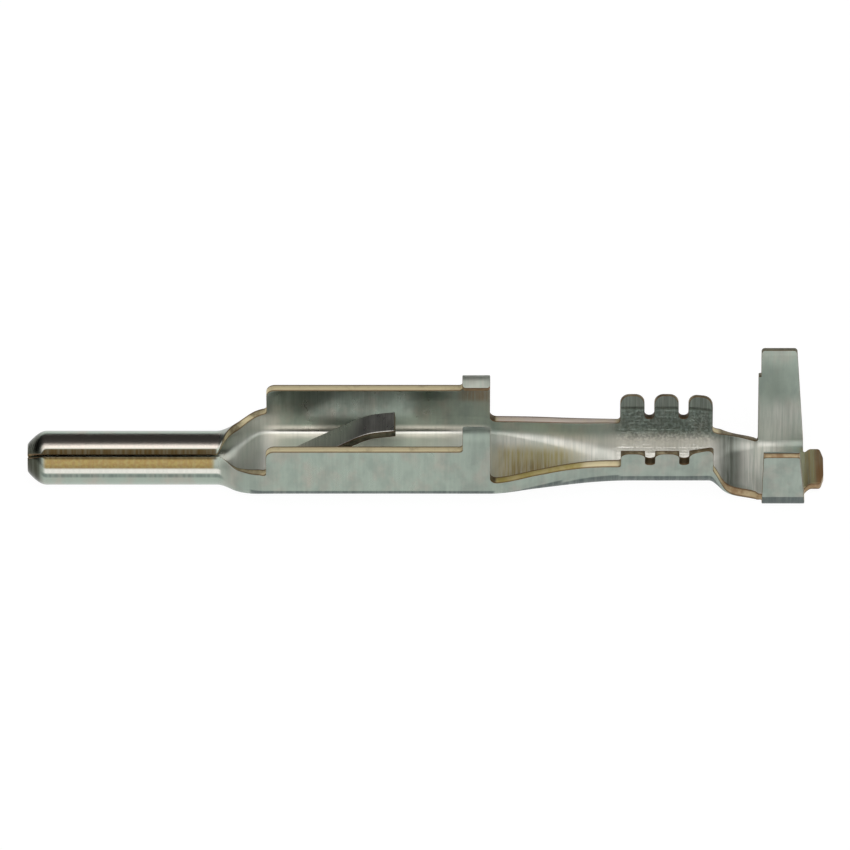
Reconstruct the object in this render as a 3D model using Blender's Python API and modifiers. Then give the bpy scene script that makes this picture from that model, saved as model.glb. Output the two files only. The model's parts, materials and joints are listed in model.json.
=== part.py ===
"""Crimp pin contact: one strip of pre-tinned brass, stamped flat, then rolled and folded.

The contact lies along X, with the tip of its pin at -X, its tail at +X and its open
side up. It is modelled the way it is made: a flat plate is cut to the outline of the
stamped blank, and the blank is then formed, each point going from its place on the
flat strip to its place on the bent section of its station.
"""

from dataclasses import dataclass
from math import ceil, cos, pi, radians, sin

import bmesh
import bpy
from mathutils import Vector

# Strip
SHEET = 0.00026
SHEAR_GAP = 0.00006
EDGE_FILLET = 0.0001

# Rolled pin
PIN_DIAMETER = 0.0016
PIN_LENGTH = 0.0056
TIP_DIAMETER = 0.00085
TIP_TAPER = 0.00056
SEAM_GAP = 0.00006
SEAM_TURN = radians(37.5)

# Throat, where the round opens into the channel
THROAT_LENGTH = 0.00146
THROAT_OPENING_PLACE = 0.00056
THROAT_OPENING_SHARE = 0.4
THROAT_OPENING_LIFT = 0.00005
THROAT_FAR_WAIST = 0.0042
THROAT_FAR_WAIST_PLACE = 0.0003
THROAT_NEAR_WAIST = 0.00346
THROAT_NEAR_WAIST_PLACE = 0.0006
THROAT_BLANK_WIDTH = 0.004
THROAT_ROUND = 0.0002
CHANNEL_LIFT = 0.00048

# Channel
CHANNEL_LENGTH = 0.00662
CHANNEL_WIDTH = 0.00271
CHANNEL_HEIGHT = 0.00205
CHANNEL_BEND = 0.00038
FRONT_ROUND = 0.00026

# Ears, curled in over the rear of the channel
EAR_LENGTH = 0.00082
EAR_RISE = 0.0003
EAR_BEND = 0.0003
EAR_ANGLE = radians(112)
EAR_FLAT = 0.0002

# Lance, cut from the floor of the channel and bent up
LANCE_SETBACK = 0.00048
LANCE_WIDTH = 0.00075
LANCE_ROOT_BEND = 0.0004
LANCE_RAMP = 0.0022
LANCE_CROWN = 0.00073
LANCE_TIP = 0.00046
LANCE_ANGLE = radians(34)
LANCE_TIP_ANGLE = radians(8)

# Trough between the channel and the wire barrel
TROUGH_LENGTH = 0.00385
TROUGH_EASE = 0.0014
TROUGH_WIDTH = 0.00236
TROUGH_BEND = 0.0005
TROUGH_DROP = 0.00003
TROUGH_BLANK_WIDTH = 0.00334
TROUGH_REAR_BLANK_WIDTH = 0.00314
NOTCH_ROUND = 0.00022

# Wire barrel, with round-headed fingers
FINGERS_A_SIDE = 3
FINGER_WIDTH = 0.00072
FINGER_GAP = 0.00029
FINGER_LENGTH = 0.00072
FINGER_ROUND = 0.00027
BARREL_EASE = 0.0003
BARREL_LIFT = 0.00021
BARREL_WIDTH = 0.00164
BARREL_BEND = 0.0008
BARREL_LEAN = radians(15.5)
BARREL_REAR_LEAN = radians(11)
BARREL_BLANK_WIDTH = 0.00344
FINGER_COIN = 0.00028
FINGER_COIN_DEPTH = 0.00014

# Neck between the two barrels
NECK_LENGTH = 0.00144
NECK_FLARE_START = 0.00012
NECK_FLARE_LENGTH = 0.00052
NECK_LIFT = 0.00013
NECK_WIDTH = 0.00244
NECK_BEND = 0.00078
NECK_REAR_LIFT = 0.00004
NECK_REAR_WIDTH = 0.0025
NECK_BLANK_WIDTH = 0.0026
NECK_REAR_BLANK_WIDTH = 0.00238
NECK_NEAR_REAR_BLANK_WIDTH = 0.0019

# Insulation barrel
WING_BASE = 0.00126
WING_EASE = 0.0001
WING_REAR_TAPER = 0.0002
WING_STEP = 0.00008
WING_STEP_DROP = 0.00086
WING_ROUND = 0.0001
WING_REACH = 0.00303
WING_COIN = 0.00012
WING_COIN_DEPTH = 0.0001
WING_LEAN = radians(16.5)
WING_BEND = 0.00045
WING_WIDTH = 0.0027

# Tail, left where the contact was cut from its carrier
TAIL_LENGTH = 0.00058
TAIL_WIDTH = 0.00138
TAIL_CROWN = 0.0001
TAIL_LIFT = 0.00017
TAIL_EASE = 0.0002

# Fineness of the model
FLOOR_CELLS = 3
CORNER_CELLS = 6
WALL_CELLS = 3
EAR_CELLS = 5
NOSE_ROWS = 4
ROW_STEP = 0.00014
ARC_STEP = radians(20)
LEAST_RATE = 1e-6
BLANK_MARGIN = 0.0003
SHARP_ANGLE = radians(28)

# Stations along the contact, measured from the tip of the pin
THROAT_END = PIN_LENGTH + THROAT_LENGTH
CHANNEL_END = THROAT_END + CHANNEL_LENGTH
TROUGH_END = CHANNEL_END + TROUGH_LENGTH
FINGER_PITCH = FINGER_WIDTH + FINGER_GAP
BARREL_END = TROUGH_END + FINGERS_A_SIDE * FINGER_PITCH - FINGER_GAP
NECK_START = BARREL_END - NECK_FLARE_START
NECK_END = BARREL_END + NECK_LENGTH
WING_END = NECK_END + WING_BASE
TOTAL_LENGTH = WING_END + TAIL_LENGTH

# Ear and lance
EAR_END = CHANNEL_END
EAR_START = EAR_END - EAR_LENGTH
EAR_ARC = (EAR_BEND - SHEET / 2) * EAR_ANGLE
LANCE_ROOT = THROAT_END + LANCE_SETBACK
LANCE_ZONES = (
    (LANCE_ROOT_BEND, LANCE_ANGLE),
    (LANCE_RAMP, 0.0),
    (LANCE_CROWN, LANCE_TIP_ANGLE - LANCE_ANGLE),
    (LANCE_TIP, 0.0),
)
LANCE_LENGTH = sum(length for length, angle in LANCE_ZONES)
LANCE_END = LANCE_ROOT + LANCE_LENGTH

CELLS = (FLOOR_CELLS, CORNER_CELLS, WALL_CELLS, EAR_CELLS)


@dataclass
class Section:
    """The bent strip at one station: zones, each a length and an angle, from its middle."""

    station: float
    floor: float
    lengths: tuple
    angles: tuple


def nose_diameter(station):
    """Diameter of the pin near its rounded tip."""
    share = min(station / TIP_TAPER, 1)
    return TIP_DIAMETER + (PIN_DIAMETER - TIP_DIAMETER) * sin(share * pi / 2)


def rolled(station):
    """Section of the pin, the whole width of the strip bent to one round."""
    diameter = nose_diameter(station)
    floor = (PIN_DIAMETER - diameter) / 2
    cells = (FLOOR_CELLS - 0.5, CORNER_CELLS, WALL_CELLS, EAR_CELLS)
    angles = tuple(pi * count / sum(cells[:3]) for count in cells)
    lengths = tuple(angle * (diameter - SHEET) / 2 for angle in angles)
    return Section(station, floor, lengths, angles)


def folded(station, floor, width, bend, wall, lean=0.0, ear_angle=0.0):
    """Section of a channel: a flat floor, a round corner, a straight wall and an ear."""
    corner_angle = pi / 2 - lean
    corner = (bend - SHEET / 2) * corner_angle
    lengths = (width / 2 - bend, corner, wall, EAR_ARC)
    return Section(station, floor, lengths, (0.0, corner_angle, 0.0, ear_angle))


def nose_stations():
    """Stations of the pin's rounded tip."""
    return [TIP_TAPER * row / NOSE_ROWS for row in range(NOSE_ROWS + 1)]


def throat_opening(pin, channel_front):
    """Section in the throat, part of the way from the pin to the channel but still low."""
    pairs = zip(sizes_of(pin), sizes_of(channel_front))
    sizes = [first + (last - first) * THROAT_OPENING_SHARE for first, last in pairs]
    return section_of(PIN_LENGTH + THROAT_OPENING_PLACE, [THROAT_OPENING_LIFT, *sizes[1:]])


def section_list():
    """The named sections, from the tip of the pin to the tail."""
    channel_wall = CHANNEL_HEIGHT + EAR_RISE - CHANNEL_BEND
    finger_wall = BARREL_BLANK_WIDTH / 2 + FINGER_LENGTH - BARREL_WIDTH / 2
    channel = (CHANNEL_LIFT, CHANNEL_WIDTH, CHANNEL_BEND, channel_wall, 0.0, EAR_ANGLE)
    trough = (CHANNEL_LIFT - TROUGH_DROP, TROUGH_WIDTH, TROUGH_BEND, TROUGH_BLANK_WIDTH / 4)
    barrel = (BARREL_LIFT, BARREL_WIDTH, BARREL_BEND, finger_wall)
    neck = (NECK_LIFT, NECK_WIDTH, NECK_BEND, NECK_BLANK_WIDTH / 4)
    neck_rear = (NECK_REAR_LIFT, NECK_REAR_WIDTH, WING_BEND, NECK_BLANK_WIDTH / 4)
    wing = (WING_WIDTH, WING_BEND, WING_REACH, WING_LEAN)
    wing_start = NECK_END - WING_STEP
    pin = rolled(PIN_LENGTH)
    channel_front = folded(THROAT_END, *channel)
    return [
        *(rolled(station) for station in nose_stations()),
        pin,
        throat_opening(pin, channel_front),
        channel_front,
        folded(CHANNEL_END, *channel),
        folded(CHANNEL_END + TROUGH_EASE, *trough),
        folded(TROUGH_END + BARREL_EASE, *barrel, BARREL_LEAN),
        folded(TROUGH_END + FINGER_PITCH + FINGER_WIDTH, *barrel, BARREL_LEAN),
        folded(NECK_START, *barrel, BARREL_REAR_LEAN),
        folded(NECK_START + NECK_FLARE_LENGTH, *neck),
        folded(wing_start - WING_EASE, *neck_rear),
        folded(wing_start, 0.0, *wing),
        folded(WING_END, 0.0, *wing),
        folded(WING_END + TAIL_EASE, TAIL_LIFT, *wing),
        folded(TOTAL_LENGTH, TAIL_LIFT, *wing),
    ]


def sizes_of(section):
    """Sizes of a section in one row."""
    return (section.floor, *section.lengths, *section.angles)


def section_of(station, sizes):
    """Section with its sizes given in one row."""
    zones = (len(sizes) - 1) // 2
    return Section(station, sizes[0], tuple(sizes[1 : zones + 1]), tuple(sizes[zones + 1 :]))


def rates(start, end):
    """How fast each size changes from one section to the next."""
    span = end.station - start.station
    return [(last - first) / span for first, last in zip(sizes_of(start), sizes_of(end))]


def slopes(sections, index):
    """Slope of each size at a named section: none at an end, a flat stretch or a peak."""
    if index in (0, len(sections) - 1):
        return [0.0] * len(sizes_of(sections[0]))
    before = rates(sections[index - 1], sections[index])
    after = rates(sections[index], sections[index + 1])
    return [2 * a * b / (a + b) if a * b > 0 else 0.0 for a, b in zip(before, after)]


def section_at(sections, station):
    """Section at any station, on a smooth curve through the named ones."""
    station = min(max(station, sections[0].station), sections[-1].station)
    index = next(number for number in range(1, len(sections)) if station <= sections[number].station)
    start, end = sections[index - 1], sections[index]
    span = end.station - start.station
    share = (station - start.station) / span
    rest = 1 - share
    sizes = [
        first * rest * rest * (1 + 2 * share)
        + last * share * share * (3 - 2 * share)
        + span * share * rest * (rest * leaving - share * arriving)
        for first, last, leaving, arriving in zip(
            sizes_of(start), sizes_of(end), slopes(sections, index - 1), slopes(sections, index)
        )
    ]
    return section_of(station, sizes)


def bend(zones, reach):
    """Follow a bent strip for a length; return its place along and up, and its heading."""
    along = up = heading = 0.0
    for length, angle in zones:
        step = min(reach, length)
        turn = angle * step / length
        if abs(turn) < 1e-6:
            along += step * cos(heading)
            up += step * sin(heading)
        else:
            along += step / turn * (sin(heading + turn) - sin(heading))
            up += step / turn * (cos(heading) - cos(heading + turn))
        heading += turn
        reach -= step
    along += reach * cos(heading)
    up += reach * sin(heading)
    return along, up, heading


def formed(sections, point):
    """Where a point of the flat blank goes when the contact is formed."""
    station, across, rise = point
    on_lance = LANCE_ROOT < station < LANCE_END + SHEAR_GAP / 2
    if on_lance and abs(across) < (LANCE_WIDTH + SHEAR_GAP) / 2:
        along, up, heading = bend(LANCE_ZONES, station - LANCE_ROOT)
        floor = section_at(sections, station).floor + SHEET / 2
        along += LANCE_ROOT - rise * sin(heading)
        return Vector((along - TOTAL_LENGTH / 2, across, floor + up + rise * cos(heading)))
    section = section_at(sections, station)
    side = -1 if across < 0 else 1
    y, z, heading = bend(zip(section.lengths, section.angles), abs(across))
    y = side * (y - rise * sin(heading))
    z += section.floor + SHEET / 2 + rise * cos(heading)
    return Vector((station - TOTAL_LENGTH / 2, y, z))


def rounded(corners):
    """Outline through corners, each a place and the radius that rounds it."""
    points = []
    count = len(corners)
    for index, (x, y, radius) in enumerate(corners):
        here = Vector((x, y))
        before = Vector(corners[index - 1][:2]) - here
        after = Vector(corners[(index + 1) % count][:2]) - here
        opening = before.angle(after)
        if radius == 0 or opening > radians(179):
            points.append(here)
            continue
        reach = min(before.length, after.length) * 0.48
        setback = min(radius / abs(sin(opening / 2)) * cos(opening / 2), reach)
        radius = setback * sin(opening / 2) / cos(opening / 2)
        start = here + before.normalized() * setback
        end = here + after.normalized() * setback
        centre = here + (before.normalized() + after.normalized()).normalized() * (
            radius / sin(opening / 2)
        )
        arm = start - centre
        sweep = arm.angle_signed(end - centre)
        steps = max(1, ceil(abs(sweep) / ARC_STEP))
        for step in range(steps + 1):
            turn = -sweep * step / steps
            points.append(
                centre
                + Vector((arm.x * cos(turn) - arm.y * sin(turn), arm.x * sin(turn) + arm.y * cos(turn)))
            )
    return points


def finger_edge():
    """How far the fingers reach from the middle line of the blank."""
    return BARREL_BLANK_WIDTH / 2 + FINGER_LENGTH


def wing_edge():
    """How far the wings reach from the middle line of the blank."""
    return sum(folded(WING_END, 0.0, WING_WIDTH, WING_BEND, WING_REACH, WING_LEAN).lengths[:3])


def half_outline(seam_angle, waist, waist_place, wing_step):
    """Corners of the blank on one side, from the tip of the pin to the tail."""
    throat = THROAT_BLANK_WIDTH / 2
    channel_corner = CHANNEL_WIDTH / 2 - CHANNEL_BEND + (CHANNEL_BEND - SHEET / 2) * pi / 2
    channel = channel_corner + CHANNEL_HEIGHT - CHANNEL_BEND
    ear = channel + EAR_RISE + EAR_ARC + EAR_FLAT
    trough = TROUGH_BLANK_WIDTH / 2
    trough_rear = TROUGH_REAR_BLANK_WIDTH / 2
    barrel = BARREL_BLANK_WIDTH / 2
    finger = finger_edge()
    neck_rear = NECK_REAR_BLANK_WIDTH / 2
    wing = wing_edge()
    wing_corner = wing - WING_REACH
    step = wing - WING_STEP_DROP
    tail = TAIL_WIDTH / 2
    corners = [(station, seam_place(station, seam_angle), 0) for station in nose_stations()]
    corners += [
        (PIN_LENGTH, seam_place(PIN_LENGTH, seam_angle), EDGE_FILLET),
        (PIN_LENGTH + waist_place, waist / 2, THROAT_ROUND),
        (THROAT_END - THROAT_ROUND, throat, THROAT_ROUND),
        (THROAT_END, throat, EDGE_FILLET),
        (THROAT_END, channel, FRONT_ROUND),
        (EAR_START, channel, EDGE_FILLET),
        (EAR_START, ear, EDGE_FILLET),
        (EAR_END, ear, EDGE_FILLET),
        (EAR_END, trough, NOTCH_ROUND),
    ]
    corners.append((TROUGH_END, trough_rear, EDGE_FILLET))
    for index in range(FINGERS_A_SIDE):
        start = TROUGH_END + index * FINGER_PITCH
        end = start + FINGER_WIDTH
        if index > 0:
            corners.append((start, barrel, FINGER_GAP / 2))
        corners += [(start, finger, FINGER_ROUND), (end, finger, FINGER_ROUND)]
        if index < FINGERS_A_SIDE - 1:
            corners.append((end, barrel, FINGER_GAP / 2))
    corners.append((BARREL_END, NECK_BLANK_WIDTH / 2, EDGE_FILLET))
    if wing_step > 0:
        corners += [
            (NECK_END - wing_step, neck_rear, EDGE_FILLET),
            (NECK_END - wing_step, step, wing_step / 3),
            (NECK_END, step, wing_step / 3),
        ]
    else:
        near_neck_rear = NECK_NEAR_REAR_BLANK_WIDTH / 2
        corners += [
            (NECK_END - WING_STEP, near_neck_rear, EDGE_FILLET),
            (NECK_END, near_neck_rear, EDGE_FILLET),
        ]
    corners += [
        (NECK_END, wing, WING_ROUND),
        (WING_END - WING_REAR_TAPER, wing, WING_ROUND),
        (WING_END, wing_corner, EDGE_FILLET),
        (WING_END, tail, EDGE_FILLET),
        (TOTAL_LENGTH - TAIL_CROWN, tail, TAIL_CROWN),
        (TOTAL_LENGTH, tail / 2, tail / 2),
    ]
    return corners


def seam_place(station, seam_angle):
    """Edge of the blank where it is rolled to the pin, for a seam at an angle."""
    return seam_angle * (nose_diameter(station) - SHEET) / 2 - SEAM_GAP / 2


def lance_slit():
    """Corners of the cut round the two sides and the end of the lance."""
    inside = LANCE_WIDTH / 2
    outside = inside + SHEAR_GAP
    end = LANCE_END + SHEAR_GAP
    half = [(LANCE_END, inside, 0), (LANCE_ROOT, inside, 0), (LANCE_ROOT, outside, 0), (end, outside, 0)]
    return half + mirrored(half)


def mirrored(corners):
    """Corners on the other side of the middle line, in the opposite order."""
    return [(x, -y, radius) for x, y, radius in reversed(corners)]


def blank_outline(collection):
    """Prism with the outline of the blank and the slit round the lance."""
    curve = bpy.data.curves.new("blank_outline", "CURVE")
    curve.dimensions = "2D"
    curve.fill_mode = "BOTH"
    curve.extrude = SHEET
    far_side = half_outline(pi + SEAM_TURN, THROAT_FAR_WAIST, THROAT_FAR_WAIST_PLACE, WING_STEP)
    near_side = half_outline(pi - SEAM_TURN, THROAT_NEAR_WAIST, THROAT_NEAR_WAIST_PLACE, 0.0)
    stamped = far_side + mirrored(near_side)
    for outline in (stamped, lance_slit()):
        points = rounded(outline)
        spline = curve.splines.new("POLY")
        spline.points.add(len(points) - 1)
        for place, point in zip(spline.points, points):
            place.co = (point.x, point.y, 0.0, 1.0)
        spline.use_cyclic_u = True
    return meshed(bpy.data.objects.new("blank_outline", curve), collection)


def meshed(curve_object, collection):
    """Mesh object made from a curve, its caps welded to its sides."""
    bpy.context.scene.collection.objects.link(curve_object)
    graph = bpy.context.evaluated_depsgraph_get()
    mesh = bpy.data.meshes.new_from_object(curve_object.evaluated_get(graph))
    welded = bmesh.new()
    welded.from_mesh(mesh)
    bmesh.ops.remove_doubles(welded, verts=welded.verts, dist=1e-7)
    bmesh.ops.recalc_face_normals(welded, faces=welded.faces)
    welded.to_mesh(mesh)
    welded.free()
    name = curve_object.name
    curve = curve_object.data
    bpy.data.objects.remove(curve_object)
    bpy.data.curves.remove(curve)
    result = bpy.data.objects.new(name, mesh)
    collection.objects.link(result)
    return result


def row_stations(sections):
    """Stations of the rows of the plate: close together only where its shape changes."""
    stops = [section.station for section in sections]
    rows = {-BLANK_MARGIN, TOTAL_LENGTH + BLANK_MARGIN}
    for start, end in zip(sections, sections[1:]):
        changes = any(abs(rate) > LEAST_RATE for rate in rates(start, end))
        steps = ceil((end.station - start.station) / ROW_STEP) if changes else 1
        rows.update(start.station + (end.station - start.station) * step / steps for step in range(steps))
    rows.add(stops[-1])
    station = LANCE_ROOT
    for length, angle in LANCE_ZONES:
        steps = max(1, ceil(abs(angle) / ARC_STEP * 4))
        rows.update(station + length * step / steps for step in range(steps + 1))
        station += length
    return sorted({round(row, 8) for row in rows})


def column_places(section, edge):
    """Places of the columns of the plate at one station, from one edge to the other."""
    floor = section.lengths[0]
    places = [floor * (cell + 0.5) / (FLOOR_CELLS - 0.5) for cell in range(FLOOR_CELLS)]
    start = floor
    for length, cells in zip(section.lengths[1:], CELLS[1:]):
        places += [start + length * cell / cells for cell in range(1, cells + 1)]
        start += length
    places.append(edge)
    return [-place for place in reversed(places)] + places


def flat_plate(sections):
    """Flat plate of sheet, larger than the blank, whose columns run along the bends."""
    stations = row_stations(sections)
    edge = max(sum(section.lengths) for section in sections) + BLANK_MARGIN
    columns = [column_places(section_at(sections, station), edge) for station in stations]
    plate = bmesh.new()
    last_row = len(stations) - 1
    last_column = len(columns[0]) - 1
    bmesh.ops.create_grid(plate, x_segments=last_row, y_segments=last_column, size=1)
    for vertex in plate.verts:
        row = round((vertex.co.x + 1) / 2 * last_row)
        column = round((vertex.co.y + 1) / 2 * last_column)
        vertex.co = (stations[row], columns[row][column], 0)
    mesh = bpy.data.meshes.new("crimp_pin_contact")
    plate.to_mesh(mesh)
    plate.free()
    return bpy.data.objects.new("crimp_pin_contact", mesh)


def evaluated_mesh(thing):
    """Mesh of an object with its modifiers applied."""
    graph = bpy.context.evaluated_depsgraph_get()
    return bpy.data.meshes.new_from_object(thing.evaluated_get(graph))


def coin(blank, start, end, edge, length, depth):
    """Thin the upper face of the flat blank towards both edges of a stretch of it."""
    stretch = [face for face in blank.faces if start < face.calc_center_median().x < end]
    for side in (-1, 1):
        pieces = set(stretch)
        pieces.update(edge_line for face in stretch for edge_line in face.edges)
        pieces.update(vertex for face in stretch for vertex in face.verts)
        crease = Vector((0, side * (edge - length), 0))
        bmesh.ops.bisect_plane(blank, geom=list(pieces), plane_co=crease, plane_no=(0, 1, 0))
        stretch = [face for face in blank.faces if start < face.calc_center_median().x < end]
    for vertex in blank.verts:
        station, across, rise = vertex.co
        beyond = abs(across) - edge + length
        if start - EDGE_FILLET < station < end + EDGE_FILLET and beyond > 0 and rise > 0:
            vertex.co.z -= depth * beyond / length


def form(mesh, sections):
    """Bend a flat blank to the shape of the contact."""
    blank = bmesh.new()
    blank.from_mesh(mesh)
    bmesh.ops.remove_doubles(blank, verts=blank.verts, dist=1e-7)
    coin(blank, TROUGH_END, BARREL_END, finger_edge(), FINGER_COIN, FINGER_COIN_DEPTH)
    coin(blank, NECK_END, WING_END, wing_edge(), WING_COIN, WING_COIN_DEPTH)
    bmesh.ops.triangulate(blank, faces=blank.faces)
    for vertex in blank.verts:
        vertex.co = formed(sections, vertex.co)
    bmesh.ops.recalc_face_normals(blank, faces=blank.faces)
    blank.to_mesh(mesh)
    blank.free()


def tinned_brass():
    """Material of the strip: bright tin plating over brass."""
    material = bpy.data.materials.new("tinned_brass")
    material.use_nodes = True
    shader = material.node_tree.nodes["Principled BSDF"]
    shader.inputs["Base Color"].default_value = (0.55, 0.56, 0.52, 1.0)
    shader.inputs["Metallic"].default_value = 1.0
    shader.inputs["Roughness"].default_value = 0.28
    return material


def main():
    """Build the contact from an empty scene."""
    for thing in list(bpy.data.objects):
        bpy.data.objects.remove(thing)
    parts = bpy.data.collections.new("crimp_pin_contact")
    cutters = bpy.data.collections.new("cutters")
    for collection in (parts, cutters):
        bpy.context.scene.collection.children.link(collection)

    sections = section_list()
    outline = blank_outline(cutters)
    outline.hide_render = True
    outline.display_type = "WIRE"

    contact = flat_plate(sections)
    parts.objects.link(contact)
    thickness = contact.modifiers.new("sheet", "SOLIDIFY")
    thickness.thickness = SHEET
    thickness.offset = 0
    stamping = contact.modifiers.new("stamping", "BOOLEAN")
    stamping.operation = "INTERSECT"
    stamping.solver = "EXACT"
    stamping.object = outline
    blank = evaluated_mesh(contact)
    contact.modifiers.clear()
    contact.data = blank
    form(blank, sections)
    blank.materials.clear()
    blank.materials.append(tinned_brass())
    blank.shade_smooth()
    blank.set_sharp_from_angle(angle=SHARP_ANGLE)


main()
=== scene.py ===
"""Looks of a crimp pin contact: a strip of pre-tinned brass, stamped flat, rolled and folded."""

import bpy
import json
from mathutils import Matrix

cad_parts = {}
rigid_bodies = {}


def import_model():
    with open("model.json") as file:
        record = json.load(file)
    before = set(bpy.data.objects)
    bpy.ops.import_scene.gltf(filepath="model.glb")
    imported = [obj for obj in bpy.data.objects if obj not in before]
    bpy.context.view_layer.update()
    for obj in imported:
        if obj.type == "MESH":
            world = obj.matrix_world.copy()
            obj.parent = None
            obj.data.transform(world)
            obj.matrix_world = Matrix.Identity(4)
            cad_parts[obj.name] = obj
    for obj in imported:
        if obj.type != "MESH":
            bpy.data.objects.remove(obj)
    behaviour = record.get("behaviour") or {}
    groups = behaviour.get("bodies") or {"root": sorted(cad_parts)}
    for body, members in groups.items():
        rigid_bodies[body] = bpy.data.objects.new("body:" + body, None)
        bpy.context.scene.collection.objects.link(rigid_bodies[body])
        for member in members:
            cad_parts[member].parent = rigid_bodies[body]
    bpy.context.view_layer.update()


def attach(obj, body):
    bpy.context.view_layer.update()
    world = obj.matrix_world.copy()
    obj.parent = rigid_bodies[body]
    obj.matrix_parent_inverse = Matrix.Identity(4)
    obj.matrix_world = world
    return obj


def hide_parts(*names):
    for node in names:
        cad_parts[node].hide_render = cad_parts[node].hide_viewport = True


for thing in list(bpy.data.objects):
    bpy.data.objects.remove(thing)
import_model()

import json
from dataclasses import dataclass
from math import ceil, cos, floor, pi, radians, sin

from bpy.props import FloatProperty, FloatVectorProperty, PointerProperty
from bpy.types import Operator, Panel, PropertyGroup
from mathutils import Matrix, Vector, noise

bl_info = {
    "name": "Crimp pin contact",
    "version": (1, 0, 0),
    "blender": (4, 5, 0),
    "location": "View3D > Sidebar > Contact",
    "description": "Dresses the solid of a crimp pin contact in tinned strip and sets its stage",
    "category": "Object",
}

# Strip, in metres
SHEET = 0.00026
SHEAR_GAP = 0.00006
EDGE_FILLET = 0.0001

# Rolled pin
PIN_DIAMETER = 0.0016
PIN_LENGTH = 0.0056
TIP_DIAMETER = 0.00085
TIP_TAPER = 0.00056
SEAM_GAP = 0.00006
SEAM_TURN = radians(37.5)

# Throat, where the round opens into the channel
THROAT_LENGTH = 0.00146
THROAT_OPENING_PLACE = 0.00056
THROAT_OPENING_SHARE = 0.4
THROAT_OPENING_LIFT = 0.00005
THROAT_FAR_WAIST = 0.0042
THROAT_FAR_WAIST_PLACE = 0.0003
THROAT_NEAR_WAIST = 0.00346
THROAT_NEAR_WAIST_PLACE = 0.0006
THROAT_BLANK_WIDTH = 0.004
THROAT_ROUND = 0.0002
CHANNEL_LIFT = 0.00048

# Channel
CHANNEL_LENGTH = 0.00662
CHANNEL_WIDTH = 0.00271
CHANNEL_HEIGHT = 0.00205
CHANNEL_BEND = 0.00038
FRONT_ROUND = 0.00026

# Ears, curled in over the rear of the channel
EAR_LENGTH = 0.00082
EAR_RISE = 0.0003
EAR_BEND = 0.0003
EAR_ANGLE = radians(112)
EAR_FLAT = 0.0002

# Lance, cut from the floor of the channel and bent up
LANCE_SETBACK = 0.00048
LANCE_WIDTH = 0.00075
LANCE_ROOT_BEND = 0.0004
LANCE_RAMP = 0.0022
LANCE_CROWN = 0.00073
LANCE_TIP = 0.00046
LANCE_ANGLE = radians(34)
LANCE_TIP_ANGLE = radians(8)

# Trough between the channel and the wire barrel
TROUGH_LENGTH = 0.00385
TROUGH_EASE = 0.0014
TROUGH_WIDTH = 0.00236
TROUGH_BEND = 0.0005
TROUGH_DROP = 0.00003
TROUGH_BLANK_WIDTH = 0.00334
TROUGH_REAR_BLANK_WIDTH = 0.00314
NOTCH_ROUND = 0.00022

# Wire barrel, with round-headed fingers
FINGERS_A_SIDE = 3
FINGER_WIDTH = 0.00072
FINGER_GAP = 0.00029
FINGER_LENGTH = 0.00072
FINGER_ROUND = 0.00027
BARREL_EASE = 0.0003
BARREL_LIFT = 0.00021
BARREL_WIDTH = 0.00164
BARREL_BEND = 0.0008
BARREL_LEAN = radians(15.5)
BARREL_REAR_LEAN = radians(11)
BARREL_BLANK_WIDTH = 0.00344
FINGER_COIN = 0.00028
FINGER_COIN_DEPTH = 0.00014

# Neck between the two barrels
NECK_LENGTH = 0.00144
NECK_FLARE_START = 0.00012
NECK_FLARE_LENGTH = 0.00052
NECK_LIFT = 0.00013
NECK_WIDTH = 0.00244
NECK_BEND = 0.00078
NECK_REAR_LIFT = 0.00004
NECK_REAR_WIDTH = 0.0025
NECK_BLANK_WIDTH = 0.0026
NECK_REAR_BLANK_WIDTH = 0.00238
NECK_NEAR_REAR_BLANK_WIDTH = 0.0019

# Insulation barrel
WING_BASE = 0.00126
WING_EASE = 0.0001
WING_REAR_TAPER = 0.0002
WING_STEP = 0.00008
WING_STEP_DROP = 0.00086
WING_ROUND = 0.0001
WING_REACH = 0.00303
WING_COIN = 0.00012
WING_COIN_DEPTH = 0.0001
WING_LEAN = radians(16.5)
WING_BEND = 0.00045
WING_WIDTH = 0.0027

# Tail, left where the contact was cut from its carrier
TAIL_LENGTH = 0.00058
TAIL_WIDTH = 0.00138
TAIL_CROWN = 0.0001
TAIL_LIFT = 0.00017
TAIL_EASE = 0.0002

# Fineness of the strip
ROLL_SHARES = (2.5, 6, 3, 5)
NOSE_ROWS = 12
ROW_STEP = 0.00007
LEAST_RATE = 1e-6
COLUMN_REACH = 0.0026
EAR_COLUMNS = 9
ARC_STEP = radians(9)
LANCE_STEP = radians(4)
SMOOTH_ANGLE = radians(42)
LEAST_TURN = 1e-6
DECIMALS = 7

# Corners of the blank: the angle that counts as straight, and how much of a side a round may take
STRAIGHT_ANGLE = radians(179)
ROUND_REACH = 0.48

# Least height of a point on the upper face of the blank
UPPER_FACE = SHEET * 0.49

# Most that the normal of a face on a sheared edge points up or down
EDGE_NORMAL = 0.6

# How uneven the depth of the knurl is, as a share of it, and the layer of noise it is taken from
KNURL_WEAR = 0.6
KNURL_LAYER = 0.5

# White paper under the contact, with a low edge turned up all round it
PAPER_WIDTH = 2.0
PAPER_RISE = 0.1
PAPER_COLOUR = (0.8, 0.8, 0.8, 1)
PAPER_GLOW = 1.08
PAPER_GLOW_SHARE = 0.88
WHITE = (1, 1, 1, 1)

# How far the border of the dark side of the room leans with height
ROOM_LEAN = -0.27

# Light of the room by direction: ranges of a unit vector's parts, and the shares they map to
ROOM_FRONT = ((0.12, -0.08), (0, 1))
ROOM_HEIGHT = ((0.0, 0.35), (0.5, 1))
ROOM_ASIDE = ((0.9, 0.5), (0.15, 1))

# Soft lamp over the contact
LAMP_HEIGHT = 0.6
LAMP_SIZE = 0.3
LAMP_ENERGY = 0.1

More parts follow.
